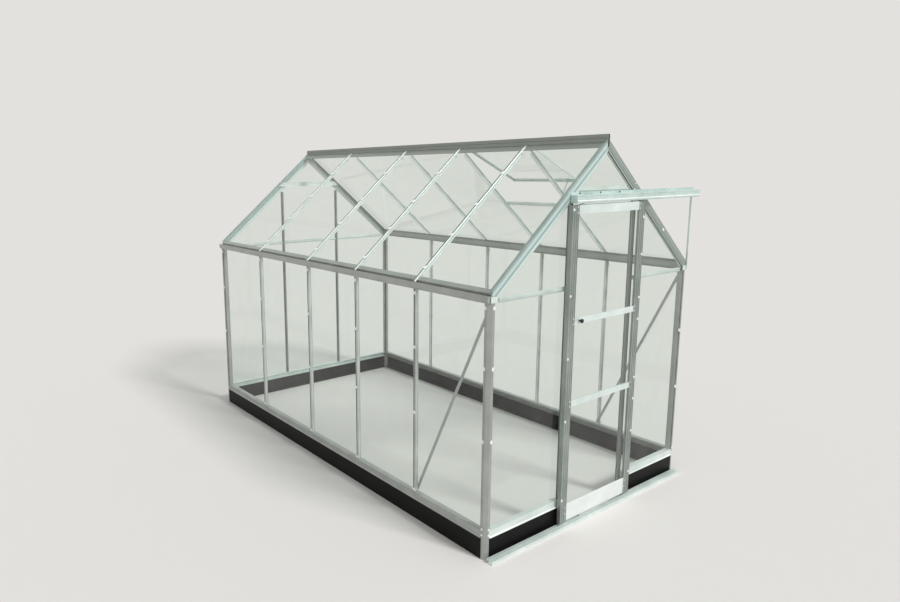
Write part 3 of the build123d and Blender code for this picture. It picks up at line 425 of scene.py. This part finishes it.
for side in (-1, 1):
    for y, turn in ((FRONT, -1), (REAR, 1)):
        middle = Vector((side * (HALF - PLATE_INSET), y, PLATE_LEVEL))
        plate_places.append(facing(middle, (0, turn, 0)))
        for step in (-PLATE_BOLT_STEP, PLATE_BOLT_STEP):
            place = middle + Vector((step, turn * PLATE_SKIN, -step * side * PLATE_BOLT_RISE))
            plate_bolts.append(facing(place, (0, turn, 0)))
set_out(plate, "eave_corner_plate", plate_places, crosswise)
set_out(screw_head(*PLATE_BOLT_HEAD), "eave_plate_bolt", plate_bolts, plated_steel)

# The panes: horticultural float glass 3 mm thick. It is clear with a faint green cast, polished on both
# faces, and carries a thin film of dust and dried rain.
GLASS_CAST = "#fbfdfc"
GLASS_FILM = "#cfd4c8"
FILM_SIZE = 240 * mm
FILM_SHARE = 0.025
GLASS_IOR = 1.5
float_glass, tree, surface = new_finish("horticultural_float_glass")
place = add(tree, "ShaderNodeTexCoord", {})["Object"]
film = add(
    tree, "ShaderNodeTexNoise", {"Vector": place, "Scale": 1 / FILM_SIZE, "Detail": 7.0, "Roughness": 0.7}
)[0]
film = add(tree, "ShaderNodeMapRange", {0: film, 1: 0.42, 2: 0.75, 3: 0.0, 4: FILM_SHARE})[0]
inner_face = add(tree, "ShaderNodeNewGeometry", {})["Backfacing"]
outer_face = add(tree, "ShaderNodeMath", {0: 1.0, 1: inner_face}, operation="SUBTRACT")[0]
mirror = add(tree, "ShaderNodeFresnel", {"IOR": GLASS_IOR})[0]
mirror = add(tree, "ShaderNodeMath", {0: mirror, 1: outer_face}, operation="MULTIPLY")[0]
clear = add(tree, "ShaderNodeBsdfTransparent", {"Color": linear(GLASS_CAST)})[0]
gloss = add(tree, "ShaderNodeBsdfGlossy", {"Color": (1, 1, 1, 1), "Roughness": 0.02})[0]
dust = add(tree, "ShaderNodeBsdfDiffuse", {"Color": linear(GLASS_FILM)})[0]
pane = add(tree, "ShaderNodeMixShader", {0: mirror, 1: clear, 2: gloss})[0]
pane = add(tree, "ShaderNodeMixShader", {0: film, 1: pane, 2: dust})[0]
tree.links.new(pane, surface)
dress([name for name in nodes if "glass" in name], float_glass)

# Glazing clips: strips of spring steel, bent so that the middle arches over the two ribs of a bar and a
# foot on each side presses a pane on to its seat. Those on the posts reach over one pane only.
CLIP_WIDTH = 20 * mm
CLIP_SKIN = 0.7 * mm
# Painted glint: the spring steel is painted white and near white.
SPRING_BRIGHT = "#ffffff"
SPRING_DULL = "#e4e8e6"
TEMPER_SIZE = 7.15 * mm
spring_steel, tree, surface = new_finish("stainless_spring_steel")
place = add(tree, "ShaderNodeTexCoord", {})["Object"]
mottle = add(tree, "ShaderNodeTexNoise", {"Vector": place, "Scale": 1 / TEMPER_SIZE, "Detail": 5.0})["Fac"]
colour = add(
    tree, "ShaderNodeMix", {0: mottle, 6: linear(SPRING_DULL), 7: linear(SPRING_BRIGHT)}, data_type="RGBA"
)[2]
roughness = add(tree, "ShaderNodeMapRange", {0: mottle, 1: 0.3, 2: 0.7, 3: 0.2, 4: 0.34})[0]
metal = add(
    tree, "ShaderNodeBsdfPrincipled", {"Base Color": colour, "Roughness": roughness, "Metallic": 0.1}
)[0]
tree.links.new(metal, surface)


def spring_clip(path):
    """A strip of spring steel bent along a path across the bar, drawn out leg by leg from one edge."""
    clip = start_shape("primitive_plane_add", size=CLIP_WIDTH)
    pick("edges", lambda middle: middle.x < -0.4 * CLIP_WIDTH)
    bpy.ops.transform.translate(value=(path[0][0] + CLIP_WIDTH / 2, 0, path[0][1]))
    pick("edges", lambda middle: middle.x > 0.4 * CLIP_WIDTH)
    bpy.ops.transform.translate(value=(path[1][0] - CLIP_WIDTH / 2, 0, path[1][1]))
    near = Vector((path[1][0], 0, path[1][1]))
    pick("edges", lambda middle: (middle - near).length < 0.1 * mm)
    for start, stop in zip(path[1:], path[2:]):
        leg = (stop[0] - start[0], 0, stop[1] - start[1])
        bpy.ops.mesh.extrude_region_move(TRANSFORM_OT_translate={"value": leg})
    bpy.ops.object.mode_set(mode="OBJECT")
    sheet = clip.modifiers.new("sheet", "SOLIDIFY")
    sheet.thickness = CLIP_SKIN
    sheet.offset = 0.0
    bpy.ops.object.modifier_apply(modifier=sheet.name)
    bpy.ops.object.mode_set(mode="EDIT")
    bpy.ops.mesh.select_all(action="SELECT")
    bpy.ops.mesh.normals_make_consistent(inside=False)
    return finish_shape(clip)


def slope(side):
    """The directions down and out of the roof's left (-1) or right (1) slope."""
    down = Vector((side * cos(ROOF_PITCH), 0, -sin(ROOF_PITCH)))
    return down, Vector((side * sin(ROOF_PITCH), 0, cos(ROOF_PITCH)))


BAR_CLIP_RIGHT = [(7 * mm, 7 * mm), (9.5 * mm, 4 * mm), (12 * mm, 4 * mm), (15 * mm, 5.2 * mm)]
BAR_CLIP = [(-x, z) for x, z in reversed(BAR_CLIP_RIGHT)] + BAR_CLIP_RIGHT
POST_CLIP = [(x * mm, z * mm) for x, z in ((-7, 8.6), (1.5, 8.6), (4, 4.0), (7, 4.0), (10, 5.2))]
CLIP_LEVELS = [z * mm for z in (190, 700, 1115, 1450)]
FRONT_RIGHT_LEVELS = [z * mm for z in (645, 1055)]
ROOF_CLIP_RUNS = [run * mm for run in (1150, 865, 590, 290)]  # down the slope from the ridge
POST_LEG = 32 * mm
wall_places = []
for side in (-1, 1):
    for y in BAR_LINES:
        wall_places += [facing((side * SEAT, y, z), (side, 0, 0)) for z in CLIP_LEVELS]
set_out(spring_clip(BAR_CLIP), "wall_clip", wall_places, spring_steel)
roof_places = []
for side in (-1, 1):
    down, outwards = slope(side)
    for y in BAR_LINES:
        beside_vent = side > 0 and y in BAR_LINES[:2]
        for run in ROOF_CLIP_RUNS[:2] if beside_vent else ROOF_CLIP_RUNS:
            roof_places.append(facing(Vector((0, y, RIDGE_HEIGHT)) + run * down, outwards, down))
set_out(spring_clip(BAR_CLIP), "roof_clip", roof_places, spring_steel)
post_places = []
for side in (-1, 1):
    for end, turn in ((FRONT, 1), (REAR, -1)):
        for z in FRONT_RIGHT_LEVELS if side > 0 and turn > 0 else CLIP_LEVELS[1:]:
            on_side_wall = Matrix((
                (0, 0, side, side * SEAT),
                (turn, 0, 0, end + turn * POST_LEG),
                (0, side * turn, 0, z),
                (0, 0, 0, 1),
            ))
            on_gable = Matrix((
                (-side, 0, 0, side * (HALF - POST_LEG)),
                (0, 0, -turn, end + turn * SEAT_DEPTH),
                (0, side * -turn, 0, z),
                (0, 0, 0, 1),
            ))
            post_places += [on_side_wall, on_gable]
set_out(spring_clip(POST_CLIP), "corner_clip", post_places, spring_steel)

# Gable bolts, vent sill bolts and a gable clip: two plated bolts hold the cross rail to the right-hand gable
# bar from the front, two hold the vent's sill from below, and a bent spring clip further down the gable bar
# presses the gable's pane against it.
GABLE_BOLT_HEAD = (5.0 * mm, 2.4 * mm)
GABLE_BOLTS = [(295 * mm, 2079 * mm), (287 * mm, 2045 * mm)]
gable_bolt_places = [facing((x, FRONT, z), (0, -1, 0)) for x, z in GABLE_BOLTS]
set_out(screw_head(*GABLE_BOLT_HEAD), "gable_bolt", gable_bolt_places, plated_steel)
VENT_BOLT_HEAD = (6.0 * mm, 2.6 * mm)
VENT_SILL_RUN = 662 * mm  # down the slope from the ridge
VENT_SILL_BOLTS = (-629 * mm, -865 * mm)
SILL_LIFT = 0.3 * mm
down, outwards = slope(1)
vent_sill_places = []
for y in VENT_SILL_BOLTS:
    underside = Vector((0, y, RIDGE_HEIGHT)) + VENT_SILL_RUN * down + SILL_LIFT * outwards
    vent_sill_places.append(facing(underside, -outwards))
set_out(screw_head(*VENT_BOLT_HEAD), "vent_sill_bolt", vent_sill_places, plated_steel)
GABLE_CLIP = [(x * mm, z * mm) for x, z in ((-9, 0.6), (2, 0.6), (5, -4.1), (12, -4.1))]
GABLE_CLIP_MIDDLE = (640 * mm, FRONT, 1772 * mm)
gable_clip_place = facing(GABLE_CLIP_MIDDLE, (0, -1, 0), down)
set_out(spring_clip(GABLE_CLIP), "gable_clip", [gable_clip_place], spring_steel)

# The sliding door's track, floor track and strut: extruded aluminium, bolted to the front gable. The face
# of the door's track is painted in small darker patches, which are painted reflections as well as bloom, and
# a rolled bead runs along its lower third, painted near white as a painted highlight.
TRACK_LIGHT = "#d9e9e5"
TRACK_DARK = "#b3c8c2"
TRACK_PATCH = 110 * mm
BEAD_LIGHT = "#fcfefd"
BEAD_DARK = "#eef4f2"
BEAD_HEIGHT = 8 * mm
BEAD_DEPTH = 2.4 * mm
BEAD_ROUND = 2.2 * mm
BEAD_LEFT = -331 * mm
BEAD_RIGHT = 980 * mm
BEAD_LEVEL = 1993 * mm
TRACK_FACE = -1718.15 * mm
track_metal = mill_aluminium("mill_aluminium_track", CROSSWISE, TRACK_LIGHT, TRACK_DARK, TRACK_PATCH)
dress(["door_track"], track_metal)
upright = mill_aluminium("mill_aluminium_upright", UPRIGHT)
dress(["floor_track"], crosswise)
dress(["track_strut"], upright)
# Painted highlight: the bead is painted near white.
bead_highlight_metal = mill_aluminium("mill_aluminium_track_bead", CROSSWISE, BEAD_LIGHT, BEAD_DARK)
bead = start_shape("primitive_cube_add", size=1.0, location=(0, 0, BEAD_DEPTH / 2))
bpy.ops.transform.resize(value=(BEAD_RIGHT - BEAD_LEFT, BEAD_HEIGHT, BEAD_DEPTH))
pick("edges", lambda middle: middle.z > 0.4 * BEAD_DEPTH and abs(middle.y) > 0.45 * BEAD_HEIGHT)
bpy.ops.mesh.bevel(offset=BEAD_ROUND, segments=4, affect="EDGES")
bead_place = facing(((BEAD_LEFT + BEAD_RIGHT) / 2, TRACK_FACE, BEAD_LEVEL), (0, -1, 0))
set_out(finish_shape(bead), "track_bead", [bead_place], bead_highlight_metal)

# Track screws: small screws of blackened steel that hold the back plate of the door's track to the header
# rail. Their surface is dark and a little uneven.
BLACK_STEEL = "#1a1a1b"
SCALE_SIZE = 3.33 * mm
black_steel, tree, surface = new_finish("blackened_steel")
place = add(tree, "ShaderNodeTexCoord", {})["Object"]
mottle = add(tree, "ShaderNodeTexNoise", {"Vector": place, "Scale": 1 / SCALE_SIZE, "Detail": 3.0})["Fac"]
roughness = add(tree, "ShaderNodeMapRange", {0: mottle, 1: 0.3, 2: 0.7, 3: 0.35, 4: 0.5})[0]
metal = add(
    tree,
    "ShaderNodeBsdfPrincipled",
    {"Base Color": linear(BLACK_STEEL), "Roughness": roughness, "Metallic": 0.3},
)[0]
tree.links.new(metal, surface)
TRACK_BACK = FRONT - 2.3 * mm
TRACK_SCREW_HEAD = (4.5 * mm, 2.4 * mm)
TRACK_SCREW_LEVEL = 2034.5 * mm
TRACK_SCREWS = [x * mm for x in (-255, -60, 130)]
track_places = [facing((x, TRACK_BACK, TRACK_SCREW_LEVEL), (0, -1, 0)) for x in TRACK_SCREWS]
set_out(screw_head(*TRACK_SCREW_HEAD), "track_screw", track_places, black_steel)

# The sliding door: ribbed stiles, flat rails and a kick panel, all extruded aluminium, screwed together
# through the stiles. The stiles are painted a darker grey than the rails, as painted shade on their ribbed
# faces, and the rails and kick panel are painted in pale lit tones, as painted light.
STILE_LIGHT = "#aeb5b0"
STILE_DARK = "#8d9590"
RAIL_LIGHT = "#eaf3f0"
RAIL_DARK = "#d0ddd9"
KICK_LIGHT = "#f5f8f7"
KICK_DARK = "#e2e8e6"
dress(["door_stiles"], mill_aluminium("mill_aluminium_door_stiles", UPRIGHT, STILE_LIGHT, STILE_DARK))
dress(["door_hangers"], upright)
dress(["door_rails"], mill_aluminium("mill_aluminium_door_rails", CROSSWISE, RAIL_LIGHT, RAIL_DARK))
dress(["door_kick_panel"], mill_aluminium("mill_aluminium_kick_panel", CROSSWISE, KICK_LIGHT, KICK_DARK))
DOOR_HALF = 355 * mm
DOOR_FRONT = -1706.85 * mm
RAIL_SCREW_HEAD = (4.0 * mm, 2.2 * mm)
RAIL_SCREW_INSET = 47 * mm
STILE_SCREW_HEAD = (8.0 * mm, 3.2 * mm)
STILE_SCREW_INSET = 10 * mm
RAIL_SCREW_LEVELS = (1928, 1958, 1280, 1312, 777, 808, 91, 130)
LEFT_STILE_LEVELS = (1945, 1450, 1075, 690, 187)
RIGHT_STILE_LEVELS = (1873, 1640, 1364, 1223, 836, 692, 470, 185)
rail_places = []
for side in (-1, 1):
    x = side * (DOOR_HALF - RAIL_SCREW_INSET)
    rail_places += [facing((x, DOOR_FRONT, z * mm), (0, -1, 0)) for z in RAIL_SCREW_LEVELS]
set_out(screw_head(*RAIL_SCREW_HEAD), "rail_screw", rail_places, plated_steel, "door")
stile_places = []
for side, levels in ((-1, LEFT_STILE_LEVELS), (1, RIGHT_STILE_LEVELS)):
    x = side * (DOOR_HALF - STILE_SCREW_INSET)
    stile_places += [facing((x, DOOR_FRONT, z * mm), (0, -1, 0)) for z in levels]
set_out(screw_head(*STILE_SCREW_HEAD), "stile_screw", stile_places, plated_steel, "door")

# The door's knob: black moulded plastic with a slightly grained skin, which makes its shine soft. It is
# screwed to the left end of the upper middle rail.
KNOB_BLACK = "#121213"
GRAIN_SIZE = 1.11 * mm
moulded_plastic, tree, surface = new_finish("moulded_plastic_black")
place = add(tree, "ShaderNodeTexCoord", {})["Object"]
grain = add(tree, "ShaderNodeTexNoise", {"Vector": place, "Scale": 1 / GRAIN_SIZE, "Detail": 2.0})["Fac"]
roughness = add(tree, "ShaderNodeMapRange", {0: grain, 1: 0.3, 2: 0.7, 3: 0.3, 4: 0.45})[0]
dimpled = add(tree, "ShaderNodeBump", {"Strength": 0.2, "Distance": 0.1 * mm, "Height": grain})[0]
plastic = add(
    tree,
    "ShaderNodeBsdfPrincipled",
    {"Base Color": linear(KNOB_BLACK), "Roughness": roughness, "Normal": dimpled},
)[0]
tree.links.new(plastic, surface)
dress(["door_knob"], moulded_plastic)

# The studio: a pale matt floor that runs into a backdrop of the same tone, under one large soft lamp from
# above the front, a little to the right, and an even pale surround.
FLOOR = "#dcdad6"
FLOOR_SIZE = 400.0
BACKDROP = "#e3e1dd"
SURROUND = "#f1f1f2"
SURROUND_LEVEL = 0.66
LAMP_LEVEL = 2.25
LAMP_SPREAD = radians(14)
LAMP_DIRECTION = (-0.18, 0.70, -0.69)
bpy.ops.object.select_all(action="DESELECT")
bpy.ops.mesh.primitive_plane_add(size=FLOOR_SIZE, location=(0, 0, 0))
floor = bpy.context.object
floor.name = "studio_floor"
floor_paint, tree, surface = new_finish("matt_floor_paint")
tree.links.new(add(tree, "ShaderNodeBsdfDiffuse", {"Color": linear(FLOOR)})[0], surface)
floor.data.materials.append(floor_paint)

world = bpy.data.worlds.new("studio")
bpy.context.scene.world = world
world.use_nodes = True
tree = world.node_tree
tree.nodes.clear()
path = add(tree, "ShaderNodeLightPath", {})
seen = add(
    tree, "ShaderNodeMath", {0: path["Is Camera Ray"], 1: path["Is Glossy Ray"]}, operation="MAXIMUM"
)[0]
seen = add(tree, "ShaderNodeMath", {0: seen, 1: path["Is Transmission Ray"]}, operation="MAXIMUM")[0]
surround = add(tree, "ShaderNodeBackground", {"Color": linear(SURROUND), "Strength": SURROUND_LEVEL})[0]
backdrop = add(tree, "ShaderNodeBackground", {"Color": linear(BACKDROP), "Strength": 1.0})[0]
sky = add(tree, "ShaderNodeMixShader", {0: seen, 1: surround, 2: backdrop})[0]
tree.links.new(sky, tree.nodes.new("ShaderNodeOutputWorld").inputs["Surface"])

light = bpy.data.lights.new("key_lamp", "SUN")
light.energy = LAMP_LEVEL
light.angle = LAMP_SPREAD
lamp = bpy.data.objects.new("key_lamp", light)
bpy.context.scene.collection.objects.link(lamp)
lamp.rotation_euler = Vector(LAMP_DIRECTION).to_track_quat("-Z", "Y").to_euler()

# The camera: it stands where the photograph was taken from, to the left of the front gable and a little
# lower than the ridge, and looks slightly down. Its optical centre lies off the middle of the picture.
EYE = (-3.5215, -4.0939, 2.174)
AZIMUTH = radians(35.93)
ELEVATION = radians(-10.01)
ROLL = radians(-0.59)
PHOTO_WIDTH = 900  # in pixels
PHOTO_HEIGHT = 602
FOCAL = 672.4
CENTRE = (366.4, 289.3)
SENSOR_WIDTH = 36.0  # in millimetres, as Blender takes it
forward = Vector((sin(AZIMUTH) * cos(ELEVATION), cos(AZIMUTH) * cos(ELEVATION), sin(ELEVATION)))
right = Vector((cos(AZIMUTH), -sin(AZIMUTH), 0))
up = right.cross(forward)
across = cos(ROLL) * right + sin(ROLL) * up
above = cos(ROLL) * up - sin(ROLL) * right
camera_data = bpy.data.cameras.new("camera")
camera = bpy.data.objects.new("camera", camera_data)
bpy.context.scene.collection.objects.link(camera)
camera.matrix_world = Matrix.Translation(EYE) @ Matrix((across, above, -forward)).transposed().to_4x4()
camera_data.sensor_width = SENSOR_WIDTH
camera_data.lens = FOCAL / PHOTO_WIDTH * SENSOR_WIDTH
camera_data.shift_x = (PHOTO_WIDTH / 2 - CENTRE[0]) / PHOTO_WIDTH
camera_data.shift_y = (CENTRE[1] - PHOTO_HEIGHT / 2) / PHOTO_WIDTH
bpy.context.scene.camera = camera
bpy.context.scene.view_settings.view_transform = "Standard"
bpy.context.scene.cycles.transparent_max_bounces = 32  # a line of sight can pass many panes
